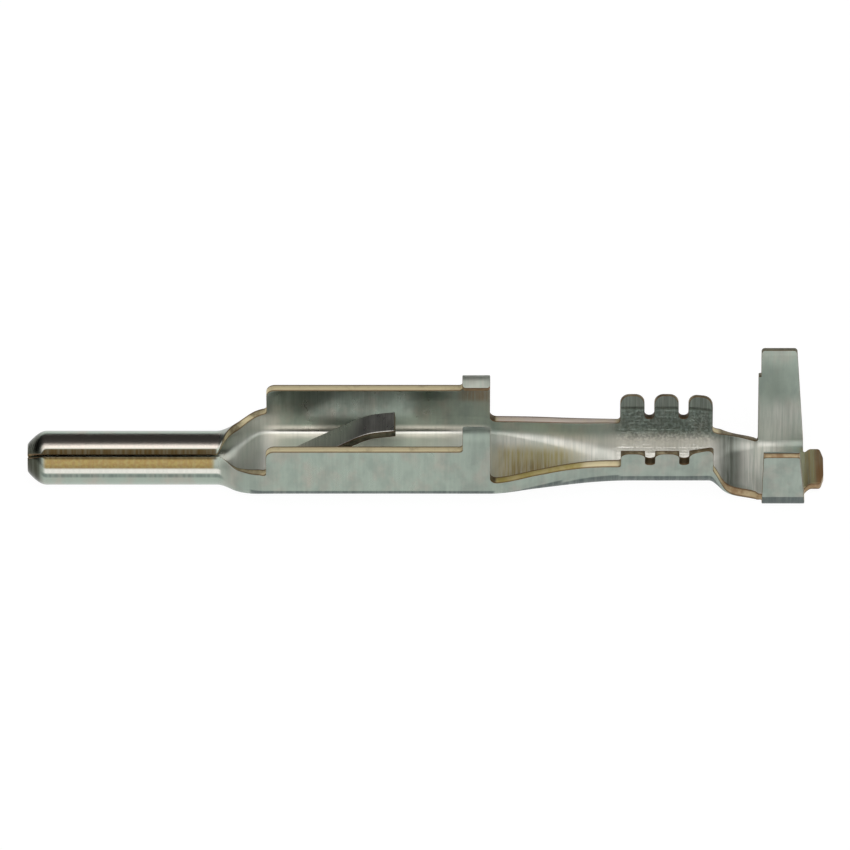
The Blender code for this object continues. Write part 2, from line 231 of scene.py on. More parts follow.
# Camera: where it aims, from the middle of the contact and the axis of the pin, and its limits
AIM_ALONG = -0.00002
AIM_UP = 0.000968
SENSOR_WIDTH = 36
NEAREST_SEEN = 0.05
FARTHEST_SEEN = 5

# The blank is drawn in millimetres, because some tools merge points closer than 0.1 units
MM = 1000
MERGE_DISTANCE = 0.0001

# Stations along the contact, measured from the tip of the pin
THROAT_END = PIN_LENGTH + THROAT_LENGTH
CHANNEL_END = THROAT_END + CHANNEL_LENGTH
TROUGH_END = CHANNEL_END + TROUGH_LENGTH
FINGER_PITCH = FINGER_WIDTH + FINGER_GAP
BARREL_END = TROUGH_END + FINGERS_A_SIDE * FINGER_PITCH - FINGER_GAP
NECK_START = BARREL_END - NECK_FLARE_START
NECK_END = BARREL_END + NECK_LENGTH
WING_END = NECK_END + WING_BASE
TOTAL_LENGTH = WING_END + TAIL_LENGTH

# Ear and lance
EAR_END = CHANNEL_END
EAR_START = EAR_END - EAR_LENGTH
EAR_ARC = (EAR_BEND - SHEET / 2) * EAR_ANGLE
LANCE_ROOT = THROAT_END + LANCE_SETBACK
LANCE_ZONES = (
    (LANCE_ROOT_BEND, LANCE_ANGLE),
    (LANCE_RAMP, 0.0),
    (LANCE_CROWN, LANCE_TIP_ANGLE - LANCE_ANGLE),
    (LANCE_TIP, 0.0),
)
LANCE_LENGTH = sum(length for length, angle in LANCE_ZONES)
LANCE_END = LANCE_ROOT + LANCE_LENGTH

# Side of the sheet that a patch of stain or painted light lies on, where it doesn't lie on both
UPPER_SKIN = 1
UNDER_SKIN = -1


@dataclass
class StainAndLightPatch:
    """Patch of stain, painted highlight or painted shade: its place on the flat strip in millimetres, how
    soft and how strong it is.
    """

    stations: tuple
    across: tuple
    soft: float
    colour: str
    amount: float
    streaks: float = 0.3
    skin: int = 0
    both_sides: bool = False
    speckled: bool = False


# Pin: stains, with painted highlights and painted reflections
PIN_STAINS_AND_LIGHT = (
    # Warm tint and painted highlight: pink-white tin where the highlight falls above the seam
    StainAndLightPatch((0.4, 5.7), (1.9, 2.36), 0.1, "warm_tin", 0.8, 0.1),
    StainAndLightPatch((0.5, 5.5), (-1.62, -1.33), 0.08, "gold_stain", 0.95, 0.08),
    StainAndLightPatch((0.5, 5.5), (-1.62, -1.33), 0.08, "brown_stain", 0.35, 1.0, speckled=True),
    StainAndLightPatch((0.4, 5.6), (-1.75, -1.57), 0.06, "seam_brown", 0.9, 0.2),
    StainAndLightPatch((0.3, 5.6), (2.37, 2.7), 0.04, "seam_brown", 1.0, 0.1),
    # Painted reflection: a pale line on the near side of the pin
    StainAndLightPatch((0.5, 5.7), (-1.33, -1.2), 0.06, "light_tin", 0.8, 0.1),
    # Painted reflection: a dark line on the near side of the pin
    StainAndLightPatch((0.4, 5.8), (-1.18, -1.07), 0.08, "dark_tin", 0.6, 0.4),
    # Painted reflection: dark olive over the rounded nose
    StainAndLightPatch((-0.2, 0.4), (-3.0, 3.0), 0.12, "olive_shade", 1.0, 0.1),
)
CHANNEL_STAINS_AND_LIGHT = (
    # Painted highlight in the throat
    StainAndLightPatch((5.9, 7.4), (-2.0, 2.0), 0.4, "light_tin", 0.45, 0.3, UPPER_SKIN),
    # Painted highlight on the channel floor
    StainAndLightPatch((7.0, 13.6), (-1.1, 1.5), 0.2, "light_tin", 0.95, 0.1, UPPER_SKIN),
    # Painted shade on the far wall behind the lance
    StainAndLightPatch((7.0, 10.8), (2.2, 3.4), 0.7, "olive_shade", 0.4, 0.2, UPPER_SKIN),
    StainAndLightPatch((7.8, 11.4), (-0.38, 0.38), 0.04, "dark_tin", 0.35, 0.6, UPPER_SKIN),
    StainAndLightPatch((12.8, 13.7), (2.6, 3.1), 0.3, "brown_stain", 0.6, 0.4, UPPER_SKIN),
    StainAndLightPatch((12.8, 13.7), (3.1, 4.2), 0.1, "warm_tin", 0.25, 0.6, UNDER_SKIN),
    # Painted shade along the outer bends at the bottom of the channel
    StainAndLightPatch((6.6, 13.8), (1.0, 1.35), 0.05, "dark_tin", 0.9, 0.2, UNDER_SKIN, True),
)
TROUGH_STAINS_AND_LIGHT = (
    # Painted highlight on the floor of the trough
    StainAndLightPatch((13.7, 17.4), (-1.6, 1.1), 0.5, "light_tin", 0.85, 0.3, UPPER_SKIN),
    StainAndLightPatch((13.8, 16.2), (-1.4, 0.5), 0.6, "olive_stain", 0.85, 0.45, UPPER_SKIN),
    StainAndLightPatch((14.2, 15.6), (-1.2, -0.1), 0.5, "brown_stain", 0.4, 1.0, UPPER_SKIN),
    StainAndLightPatch((16.4, 17.6), (-1.7, -1.48), 0.06, "seam_brown", 0.95, 0.1, UPPER_SKIN),
    # Painted shade along the outer bends at the bottom of the trough
    StainAndLightPatch((13.8, 15.8), (0.8, 1.2), 0.06, "dark_tin", 0.9, 0.2, UNDER_SKIN, True),
    StainAndLightPatch((15.8, 17.5), (0.5, 1.08), 0.08, "dark_tin", 0.9, 0.2, UNDER_SKIN, True),
)
WIRE_BARREL_STAINS_AND_LIGHT = (
    # Painted highlight along the floor of the barrel
    StainAndLightPatch((17.3, 20.6), (-1.2, 1.15), 0.4, "light_tin", 1.0, 0.1, UPPER_SKIN),
    StainAndLightPatch((17.4, 20.5), (1.3, 2.7), 0.35, "dark_tin", 0.45, 0.3, UPPER_SKIN),
    StainAndLightPatch((17.4, 20.5), (2.08, 2.7), 0.08, "olive_shade", 0.75, 0.3, UPPER_SKIN),
    StainAndLightPatch((17.5, 20.4), (1.0, 2.1), 0.4, "olive_shade", 0.45, 1.0, UPPER_SKIN, speckled=True),
    # Painted shade along the outer bend at the bottom of the barrel
    StainAndLightPatch((17.5, 20.6), (0.3, 1.0), 0.06, "dark_tin", 0.9, 0.2, UNDER_SKIN, True),
)
REAR_STAINS_AND_LIGHT = (
    # Painted reflection: a light band over the rear of the neck
    StainAndLightPatch((20.9, 22.2), (-1.3, 1.2), 0.4, "light_tin", 0.8, 0.5, UPPER_SKIN),
    # Painted reflection: a dark band across the front of the neck
    StainAndLightPatch((20.5, 21.1), (-1.4, 1.3), 0.3, "olive_shade", 0.75, 0.5, UPPER_SKIN),
    # Painted highlight low on the inside of the far wing
    StainAndLightPatch((21.6, 23.0), (1.2, 2.6), 0.8, "light_tin", 0.55, 0.5, UPPER_SKIN),
    StainAndLightPatch((22.9, 24.0), (-0.9, 0.9), 0.15, "olive_stain", 0.6, 0.5),
    StainAndLightPatch((23.05, 23.2), (-0.9, 0.9), 0.1, "brown_stain", 0.5, 0.4),
    StainAndLightPatch((23.3, 24.0), (-0.9, 0.9), 0.08, "brown_stain", 0.9, 0.3),
    # Painted shade along the outer bends at the bottom of the wings
    StainAndLightPatch((21.6, 23.0), (1.0, 1.66), 0.06, "dark_tin", 0.95, 0.1, UNDER_SKIN, True),
)
# All the patches on the tin: stains, painted highlights and painted shade
TIN_STAINS_AND_LIGHT = PIN_STAINS_AND_LIGHT + CHANNEL_STAINS_AND_LIGHT + TROUGH_STAINS_AND_LIGHT + WIRE_BARREL_STAINS_AND_LIGHT + REAR_STAINS_AND_LIGHT

EDGE_STAINS_AND_SHADE = (
    StainAndLightPatch((0.15, 5.5), (0.0, 3.0), 0.1, "seam_brown", 0.95, 0.1),
    StainAndLightPatch((0.15, 5.5), (-3.0, 0.0), 0.1, "seam_brown", 0.95, 0.1),
    StainAndLightPatch((5.6, 6.9), (1.2, 2.8), 0.2, "seam_brown", 0.7, 0.9),
    StainAndLightPatch((5.6, 6.9), (-2.8, -1.2), 0.2, "seam_brown", 0.7, 0.5),
    # Painted shade on the cut edges of the lance
    StainAndLightPatch((7.6, 11.6), (-0.5, 0.5), 0.1, "olive_shade", 0.95, 0.2),
    StainAndLightPatch((12.8, 13.8), (3.2, 4.2), 0.2, "brown_stain", 0.9, 0.2, both_sides=True),
    StainAndLightPatch((13.9, 17.4), (1.3, 2.0), 0.1, "warm_tin", 0.9, 0.3),
    StainAndLightPatch((13.8, 16.4), (-2.0, -1.3), 0.2, "olive_stain", 0.95, 0.3),
    StainAndLightPatch((13.55, 13.85), (1.4, 2.2), 0.05, "seam_brown", 0.95, 0.1, both_sides=True),
    StainAndLightPatch((17.4, 20.5), (1.6, 2.7), 0.1, "seam_brown", 0.9, 0.3, both_sides=True),
    StainAndLightPatch((18.1, 19.6), (1.5, 1.9), 0.1, "seam_brown", 0.95, 0.1, both_sides=True),
    StainAndLightPatch((20.5, 21.8), (0.6, 1.6), 0.1, "seam_brown", 0.85, 0.3),
    StainAndLightPatch((20.5, 21.8), (-1.6, -0.6), 0.1, "brown_stain", 0.8, 0.5),
    StainAndLightPatch((21.5, 23.1), (1.6, 5.2), 0.1, "dark_tin", 0.8, 0.2),
    StainAndLightPatch((21.5, 23.1), (-4.2, -1.6), 0.1, "dark_tin", 0.8, 0.2),
    StainAndLightPatch((21.5, 23.1), (-5.2, -4.2), 0.1, "brown_stain", 0.8, 0.4),
    StainAndLightPatch((22.9, 24.0), (-1.0, 1.0), 0.2, "brown_stain", 0.8, 0.3),
)

# Stretch of the strip that is burnished, and those where no tool rubs it and it stays dull
BURNISHED = (-1.0, 5.7)
BURNISHED_SOFT = 0.4
DULLED = (((6.0, 7.2), 0.5), ((12.6, 25.0), 1.6))

# Patterns in the tin: size in millimetres along the strip and across it, and detail
CLOUDS = ((0.45, 0.9), 5.0)
WARMTH = ((0.7, 1.3), 4.0)
ROLL_LINES = ((0.08, 2.0), 3.0)

# Patterns through the whole piece: size in millimetres, and detail
GRAIN = (0.11, 2.0)
SPECKLES = (0.1, 1.0)
TEARS = (0.4, 4.0)
NOISE_ROUGHNESS = 0.6

# Range of its pattern over which each part of the finish comes in, and what it maps to
WARM_SHARE = ((0.44, 0.68), (0, 0.5))
DULL_SHARE = ((0.4, 0.68), (0, 0.5))
LINE_SHARE = ((0.3, 0.7), (0, 0.3))
SHARE_OFF_PIN = ((0, 1), (1, 0.25))
SATIN_ROUGHNESS = ((0.3, 0.7), (0.26, 0.36))
DULL_ROUGHNESS = ((0.3, 0.7), (0.4, 0.55))
DULL_METAL = ((0.3, 0.7), (0.62, 0.42))
TORN_SHARE = ((0.5, 0.8), (0, 0.4))
# Painted shade along the borders of the cut faces
BORDER_SHADE_SHARE = ((0.45, 0.8), (0, 0.85))
BRASS_METAL = 0.5
BRASS_ROUGHNESS = 0.6

# Stains and painted light: ranges of the patterns that break them up, and how much softer they are
# lengthways
STREAK_RANGE = (0.36, 0.62)
SPECKLE_RANGE = (0.38, 0.6)
SOFTER_ALONG = 2

# Height in the sheet at which a patch of stain or painted light on one side is whole
SKIN_HEIGHT = 0.9

# Fine relief of the surfaces, its distance in metres
LINE_RELIEF = {"Strength": 0.3, "Distance": 0.000006}
GRAIN_RELIEF = {"Strength": 0.25, "Distance": 0.000004}
TEAR_RELIEF = {"Strength": 0.4, "Distance": 0.00001}


def linear(hex_value):
    """Linear colour for Blender from an sRGB hex value."""
    channels = [int(hex_value[place : place + 2], 16) / 255 for place in (1, 3, 5)]
    return tuple(c / 12.92 if c <= 0.04045 else ((c + 0.055) / 1.055) ** 2.4 for c in channels)


def colour(name, hex_value, description):
    """Colour setting with its default given as an sRGB hex value."""
    return FloatVectorProperty(
        name=name,
        description=description,
        subtype="COLOR",
        min=0,
        max=1,
        default=linear(hex_value),
    )


class StripFinish(PropertyGroup):
    """Sizes and colours of the finish of the strip."""

    edge_round: FloatProperty(
        name="Edge round",
        description="Radius of the sheared edges of the strip",
        default=0.000025,
        min=0.000005,
        unit="LENGTH",
    )
    knurl_pitch: FloatProperty(
        name="Knurl pitch",
        description="Distance between the points of the knurl in the wire barrel",
        default=0.00011,
        min=0.00005,
        unit="LENGTH",
    )
    knurl_depth: FloatProperty(
        name="Knurl depth",
        description="Height of the points of the knurl over its hollows",
        default=0.00003,
        min=0,
        unit="LENGTH",
    )
    pin_roughness: FloatProperty(
        name="Pin roughness",
        description="Roughness of the burnished tin on the pin",
        default=0.22,
        min=0,
        max=1,
        subtype="FACTOR",
    )
    tin: colour("Tin", "#9FAB9F", "Satin tin of the strip, a little green")
    blush_tin: colour("Blush tin", "#AEA196", "Clouds in the tin, a little pink")
    # Also a painted highlight: the pink-white band above the seam of the pin
    warm_tin: colour("Warm tin", "#E4D6CC", "Tin where it looks pink or brown")
    dull_tin: colour("Dull tin", "#87938A", "Tin where it has dulled")
    # Painted highlight: pale tin laid where highlights and reflections of the bright room fall
    light_tin: colour("Light tin", "#F4F1E8", "Tin in the hollows, where it stays pale")
    # Painted shade along the outer bends at the bottom and a painted reflection line on the pin; darker
    # tin on the lance, the barrel wall and the wing edges
    dark_tin: colour("Dark tin", "#465250", "Tin rubbed thin at the bends")
    # Painted shade and painted reflection at the nose, on the far wall, on the cut edges of the lance and
    # on the neck; darker tin at the fingertips and in the knurl
    olive_shade: colour("Olive shade", "#43453A", "Darkest tin, with grease of the tools in it")
    seam_brown: colour("Seam brown", "#463820", "Dark tarnish along the seam and in corners")
    gold_stain: colour("Gold stain", "#9E8A54", "Warm tarnish where tin has worn thin on the brass")
    olive_stain: colour("Olive stain", "#B0A058", "Yellow green tarnish in the trough")
    brown_stain: colour("Brown stain", "#8A6440", "Brown tarnish by bare edges")
    brass: colour("Brass", "#E9DBB2", "Bare brass of the sheared edges")
    # Also painted shade along the borders of the cut faces
    dark_brass: colour("Dark brass", "#6A5236", "Bare brass where it has darkened")


class StageSettings(PropertyGroup):
    """Camera and light."""

    elevation: FloatProperty(
        name="Camera elevation",
        description="Angle of the camera above the horizon",
        default=radians(48),
        subtype="ANGLE",
    )
    distance: FloatProperty(
        name="Camera distance",
        description="Distance from the camera to the point that it looks at",
        default=0.45,
        unit="LENGTH",
    )
    frame_width: FloatProperty(
        name="Frame width",
        description="Width of the picture at the contact",
        default=0.02516,
        unit="LENGTH",
    )
    front: FloatProperty(
        name="Front light",
        description="Brightness of the side of the room behind the camera",
        default=1.2,
        min=0,
    )
    back: FloatProperty(
        name="Back light",
        description="Brightness of the side of the room behind the contact",
        default=0.04,
        min=0,
    )


# The bent strip, worked out here because the bend operator needs a window


@dataclass
class Section:
    """The bent strip at one station: zones, each a length and an angle, from its middle."""

    station: float
    floor: float
    lengths: tuple
    angles: tuple


def nose_diameter(station):
    """Diameter of the pin near its rounded tip."""
    share = min(station / TIP_TAPER, 1)
    return TIP_DIAMETER + (PIN_DIAMETER - TIP_DIAMETER) * sin(share * pi / 2)


def rolled(station):
    """Section of the pin, the whole width of the strip bent to one round."""
    diameter = nose_diameter(station)
    angles = tuple(pi * share / sum(ROLL_SHARES[:3]) for share in ROLL_SHARES)
    lengths = tuple(angle * (diameter - SHEET) / 2 for angle in angles)
    return Section(station, (PIN_DIAMETER - diameter) / 2, lengths, angles)


def folded(station, lift, width, bend_radius, wall, lean=0.0, ear_angle=0.0):
    """Section of a channel: a flat floor, a round corner, a straight wall and an ear."""
    corner_angle = pi / 2 - lean
    corner = (bend_radius - SHEET / 2) * corner_angle
    lengths = (width / 2 - bend_radius, corner, wall, EAR_ARC)
    return Section(station, lift, lengths, (0.0, corner_angle, 0.0, ear_angle))


def nose_stations():
    """Stations of the pin's rounded tip."""
    return [TIP_TAPER * row / NOSE_ROWS for row in range(NOSE_ROWS + 1)]


def throat_opening(pin, channel_front):
    """Section in the throat, part of the way from the pin to the channel but still low."""
    pairs = zip(sizes_of(pin), sizes_of(channel_front))
    sizes = [first + (last - first) * THROAT_OPENING_SHARE for first, last in pairs]
    return section_of(PIN_LENGTH + THROAT_OPENING_PLACE, [THROAT_OPENING_LIFT, *sizes[1:]])


def section_list():
    """The named sections, from the tip of the pin to the tail."""
    channel_wall = CHANNEL_HEIGHT + EAR_RISE - CHANNEL_BEND
    finger_wall = BARREL_BLANK_WIDTH / 2 + FINGER_LENGTH - BARREL_WIDTH / 2
    channel = (CHANNEL_LIFT, CHANNEL_WIDTH, CHANNEL_BEND, channel_wall, 0.0, EAR_ANGLE)
    trough = (CHANNEL_LIFT - TROUGH_DROP, TROUGH_WIDTH, TROUGH_BEND, TROUGH_BLANK_WIDTH / 4)
    barrel = (BARREL_LIFT, BARREL_WIDTH, BARREL_BEND, finger_wall)
    neck = (NECK_LIFT, NECK_WIDTH, NECK_BEND, NECK_BLANK_WIDTH / 4)
    neck_rear = (NECK_REAR_LIFT, NECK_REAR_WIDTH, WING_BEND, NECK_BLANK_WIDTH / 4)
    wing = (WING_WIDTH, WING_BEND, WING_REACH, WING_LEAN)
    wing_start = NECK_END - WING_STEP
    pin = rolled(PIN_LENGTH)
    channel_front = folded(THROAT_END, *channel)
    return [
        *(rolled(station) for station in nose_stations()),
        pin,
        throat_opening(pin, channel_front),
        channel_front,
        folded(CHANNEL_END, *channel),
        folded(CHANNEL_END + TROUGH_EASE, *trough),
        folded(TROUGH_END + BARREL_EASE, *barrel, BARREL_LEAN),
        folded(TROUGH_END + FINGER_PITCH + FINGER_WIDTH, *barrel, BARREL_LEAN),
        folded(NECK_START, *barrel, BARREL_REAR_LEAN),
        folded(NECK_START + NECK_FLARE_LENGTH, *neck),
        folded(wing_start - WING_EASE, *neck_rear),
        folded(wing_start, 0.0, *wing),
        folded(WING_END, 0.0, *wing),
        folded(WING_END + TAIL_EASE, TAIL_LIFT, *wing),
        folded(TOTAL_LENGTH, TAIL_LIFT, *wing),
    ]


def sizes_of(section):
    """Sizes of a section in one row."""
    return (section.floor, *section.lengths, *section.angles)


def section_of(station, sizes):
    """Section with its sizes given in one row."""
    zones = (len(sizes) - 1) // 2
    return Section(station, sizes[0], tuple(sizes[1 : zones + 1]), tuple(sizes[zones + 1 :]))


def rates(start, end):
    """How fast each size changes from one section to the next."""
    span = end.station - start.station
    return [(last - first) / span for first, last in zip(sizes_of(start), sizes_of(end))]


def slopes(sections, index):
    """Slope of each size at a named section: none at an end, a flat stretch or a peak."""
    if index in (0, len(sections) - 1):
        return [0.0] * len(sizes_of(sections[0]))
    before = rates(sections[index - 1], sections[index])
    after = rates(sections[index], sections[index + 1])
    return [2 * a * b / (a + b) if a * b > 0 else 0.0 for a, b in zip(before, after)]


def section_at(sections, station):
    """Section at any station, on a smooth curve through the named ones."""
    station = min(max(station, sections[0].station), sections[-1].station)
    index = next(number for number in range(1, len(sections)) if station <= sections[number].station)
    start, end = sections[index - 1], sections[index]
    span = end.station - start.station
    share = (station - start.station) / span
    rest = 1 - share
    sizes = [
        first * rest * rest * (1 + 2 * share)
        + last * share * share * (3 - 2 * share)
        + span * share * rest * (rest * leaving - share * arriving)
        for first, last, leaving, arriving in zip(
            sizes_of(start), sizes_of(end), slopes(sections, index - 1), slopes(sections, index)
        )
    ]
    return section_of(station, sizes)


def bend(zones, reach):
    """Follow a bent strip for a length; return its place along and up, and its heading."""
    along = up = heading = 0.0
    for length, angle in zones:
        step = min(reach, length)
        turn = angle * step / length
        if abs(turn) < LEAST_TURN:
            along += step * cos(heading)
            up += step * sin(heading)
        else:
            along += step / turn * (sin(heading + turn) - sin(heading))
            up += step / turn * (cos(heading) - cos(heading + turn))
        heading += turn
        reach -= step
    along += reach * cos(heading)
    up += reach * sin(heading)
    return along, up, heading


def formed(section, point):
    """Where a point of the flat blank goes when the contact is formed."""
    station, across, rise = point
    on_lance = LANCE_ROOT < station < LANCE_END + SHEAR_GAP / 2
    if on_lance and abs(across) < (LANCE_WIDTH + SHEAR_GAP) / 2:
        along, up, heading = bend(LANCE_ZONES, station - LANCE_ROOT)
        along += LANCE_ROOT - rise * sin(heading)
        height = section.floor + SHEET / 2 + up + rise * cos(heading)
        return Vector((along - TOTAL_LENGTH / 2, across, height))
    side = -1 if across < 0 else 1
    y, z, heading = bend(zip(section.lengths, section.angles), abs(across))
    y = side * (y - rise * sin(heading))
    z += section.floor + SHEET / 2 + rise * cos(heading)
    return Vector((station - TOTAL_LENGTH / 2, y, z))


# The stamped blank


def rounded(corners):
    """Outline through corners, each a place and the radius that rounds it."""
    points = []
    count = len(corners)
    for index, (x, y, radius) in enumerate(corners):
        here = Vector((x, y))
        before = Vector(corners[index - 1][:2]) - here
        after = Vector(corners[(index + 1) % count][:2]) - here
        opening = before.angle(after)
        if radius == 0 or opening > STRAIGHT_ANGLE:
            points.append(here)
            continue
        reach = min(before.length, after.length) * ROUND_REACH
        setback = min(radius / abs(sin(opening / 2)) * cos(opening / 2), reach)
        radius = setback * sin(opening / 2) / cos(opening / 2)
        start = here + before.normalized() * setback
        end = here + after.normalized() * setback
        inward = (before.normalized() + after.normalized()).normalized()
        centre = here + inward * (radius / sin(opening / 2))
        arm = start - centre
        sweep = arm.angle_signed(end - centre)
        steps = max(2, ceil(abs(sweep) / ARC_STEP))
        points += [centre + Matrix.Rotation(-sweep * step / steps, 2) @ arm for step in range(steps + 1)]
    return points


def mirrored(corners):
    """Corners on the other side of the middle line, in the opposite order."""
    return [(x, -y, radius) for x, y, radius in reversed(corners)]


def seam_place(station, seam_angle):
    """Edge of the blank where it is rolled to the pin, for a seam at an angle."""
    return seam_angle * (nose_diameter(station) - SHEET) / 2 - SEAM_GAP / 2


def finger_edge():
    """How far the fingers reach from the middle line of the blank."""
    return BARREL_BLANK_WIDTH / 2 + FINGER_LENGTH


def wing_edge():
    """How far the wings reach from the middle line of the blank."""
    return sum(folded(WING_END, 0.0, WING_WIDTH, WING_BEND, WING_REACH, WING_LEAN).lengths[:3])


def half_outline(seam_angle, waist, waist_place, wing_step):
    """Corners of the blank on one side, from the tip of the pin to the tail."""
    throat = THROAT_BLANK_WIDTH / 2
    channel_corner = CHANNEL_WIDTH / 2 - CHANNEL_BEND + (CHANNEL_BEND - SHEET / 2) * pi / 2
    channel = channel_corner + CHANNEL_HEIGHT - CHANNEL_BEND
    ear = channel + EAR_RISE + EAR_ARC + EAR_FLAT
    barrel = BARREL_BLANK_WIDTH / 2
    finger = finger_edge()
    neck_rear = NECK_REAR_BLANK_WIDTH / 2
    wing = wing_edge()
    step = wing - WING_STEP_DROP
    tail = TAIL_WIDTH / 2
    corners = [(station, seam_place(station, seam_angle), 0) for station in nose_stations()]
    corners += [
        (PIN_LENGTH, seam_place(PIN_LENGTH, seam_angle), EDGE_FILLET),
        (PIN_LENGTH + waist_place, waist / 2, THROAT_ROUND),
        (THROAT_END - THROAT_ROUND, throat, THROAT_ROUND),
        (THROAT_END, throat, EDGE_FILLET),
        (THROAT_END, channel, FRONT_ROUND),
        (EAR_START, channel, EDGE_FILLET),
        (EAR_START, ear, EDGE_FILLET),
        (EAR_END, ear, EDGE_FILLET),
        (EAR_END, TROUGH_BLANK_WIDTH / 2, NOTCH_ROUND),
        (TROUGH_END, TROUGH_REAR_BLANK_WIDTH / 2, EDGE_FILLET),
    ]
    for index in range(FINGERS_A_SIDE):
        start = TROUGH_END + index * FINGER_PITCH
        end = start + FINGER_WIDTH
        if index > 0:
            corners.append((start, barrel, FINGER_GAP / 2))
        corners += [(start, finger, FINGER_ROUND), (end, finger, FINGER_ROUND)]
        if index < FINGERS_A_SIDE - 1:
            corners.append((end, barrel, FINGER_GAP / 2))
    corners.append((BARREL_END, NECK_BLANK_WIDTH / 2, EDGE_FILLET))
    if wing_step > 0:
        step_round = wing_step / 3
        corners += [
            (NECK_END - wing_step, neck_rear, EDGE_FILLET),
            (NECK_END - wing_step, step, step_round),
            (NECK_END, step, step_round),
        ]
    else:
        near_neck_rear = NECK_NEAR_REAR_BLANK_WIDTH / 2
        corners += [
            (NECK_END - WING_STEP, near_neck_rear, EDGE_FILLET),
            (NECK_END, near_neck_rear, EDGE_FILLET),
        ]
    corners += [
        (NECK_END, wing, WING_ROUND),
        (WING_END - WING_REAR_TAPER, wing, WING_ROUND),
        (WING_END, wing - WING_REACH, EDGE_FILLET),
        (WING_END, tail, EDGE_FILLET),
        (TOTAL_LENGTH - TAIL_CROWN, tail, TAIL_CROWN),
        (TOTAL_LENGTH, tail / 2, tail / 2),
    ]
    return corners


def lance_slit():
    """Corners of the cut round the two sides and the end of the lance."""
    inside = LANCE_WIDTH / 2
    outside = inside + SHEAR_GAP
    end = LANCE_END + SHEAR_GAP
    half = [(LANCE_END, inside, 0), (LANCE_ROOT, inside, 0), (LANCE_ROOT, outside, 0), (end, outside, 0)]
    return half + mirrored(half)


def deselect_all():
    """Leave nothing selected, because an operator acts on all that is."""
    bpy.ops.object.select_all(action="DESELECT")


def make_active(thing):
    """Select one object alone."""
    deselect_all()
    thing.select_set(True)
    bpy.context.view_layer.objects.active = thing


def stamp_blank(edge_round):
    """Flat plate with the outline of the blank, its sheared edges rounded."""
    curve = bpy.data.curves.new("contact_strip", "CURVE")
    curve.dimensions = "2D"
    curve.fill_mode = "BOTH"
    curve.bevel_depth = edge_round * MM
    curve.bevel_resolution = 1
    curve.offset = -edge_round * MM
    curve.extrude = (SHEET / 2 - edge_round) * MM
    far_side = half_outline(pi + SEAM_TURN, THROAT_FAR_WAIST, THROAT_FAR_WAIST_PLACE, WING_STEP)
    near_side = half_outline(pi - SEAM_TURN, THROAT_NEAR_WAIST, THROAT_NEAR_WAIST_PLACE, 0.0)
    for outline in (far_side + mirrored(near_side), lance_slit()):
        points = rounded(outline)
        spline = curve.splines.new("POLY")
        spline.points.add(len(points) - 1)
        for place, point in zip(spline.points, points):
            place.co = (point.x * MM, point.y * MM, 0.0, 1.0)
        spline.use_cyclic_u = True
    blank = bpy.data.objects.new("contact_strip", curve)
    bpy.context.scene.collection.objects.link(blank)
    make_active(blank)
    bpy.ops.object.convert(target="MESH")
    bpy.ops.object.mode_set(mode="EDIT")
    bpy.ops.mesh.select_all(action="SELECT")
    bpy.ops.mesh.remove_doubles(threshold=MERGE_DISTANCE)
    bpy.ops.mesh.normals_make_consistent(inside=False)
    bpy.ops.object.mode_set(mode="OBJECT")
    return bpy.context.view_layer.objects.active


def score(places, across):
    """Cut lines along or across the flat blank, where it is going to bend."""
    normal = (0, 1, 0) if across else (1, 0, 0)
    bpy.ops.object.mode_set(mode="EDIT")
    for place in places:
        bpy.ops.mesh.select_all(action="SELECT")
        point = [number * place * MM for number in normal]
        bpy.ops.mesh.bisect(plane_co=point, plane_no=normal, threshold=MERGE_DISTANCE)
    bpy.ops.object.mode_set(mode="OBJECT")


def even_places(start, end, step):
    """Places from start to end, at most a step apart, without the two ends."""
    steps = max(1, ceil((end - start) / step))
    return [start + (end - start) * count / steps for count in range(1, steps)]


def row_stations(sections, knurl_step):
    """Stations at which the blank is scored: close together where its shape changes."""
    rows = [section.station for section in sections[1:-1]]
    for start, end in zip(sections, sections[1:]):
        if any(abs(rate) > LEAST_RATE for rate in rates(start, end)):
            rows += even_places(start.station, end.station, ROW_STEP)
    low, high = TROUGH_END - BARREL_EASE, BARREL_END
    rows = [row for row in rows if not low < row < high]
    rows += [count * knurl_step for count in range(floor(low / knurl_step), ceil(high / knurl_step))]
    station = LANCE_ROOT
    for length, angle in LANCE_ZONES:
        rows.append(station)
        rows += even_places(station, station + length, length * LANCE_STEP / max(abs(angle), LANCE_STEP))
        station += length
    return sorted({round(row, DECIMALS) for row in rows})


def column_places(knurl_step):
    """Places across the blank at which it is scored along its length."""
    count = floor(COLUMN_REACH / knurl_step)
    places = [knurl_step * number for number in range(count + 1)]
    channel_wall = CHANNEL_HEIGHT + EAR_RISE - CHANNEL_BEND
    ear = sum(folded(EAR_START, 0.0, CHANNEL_WIDTH, CHANNEL_BEND, channel_wall).lengths[:3])
    places += [ear, ear + EAR_ARC, *even_places(ear, ear + EAR_ARC, EAR_ARC / EAR_COLUMNS)]
    places += [finger_edge() - FINGER_COIN, wing_edge() - WING_COIN]
    return sorted({round(side * place, DECIMALS) for place in places for side in (-1, 1)})


def coined(point, start, end, edge, length, depth):
    """Point of the blank after its upper face is pressed thin towards an edge."""
    beyond = abs(point.y) - edge + length
    if start - EDGE_FILLET < point.x < end + EDGE_FILLET and beyond > 0:
        share = depth * beyond / length / SHEET
        point.z -= (point.z + SHEET / 2) * share
    return point


def in_knurl(point):
    """Whether a point of the blank is on the knurled part of its upper face."""
    inside = TROUGH_END - BARREL_EASE / 2 < point.x < BARREL_END - EDGE_FILLET
    reach = finger_edge() - FINGER_COIN - EDGE_FILLET
    return inside and abs(point.y) < reach and point.z > UPPER_FACE


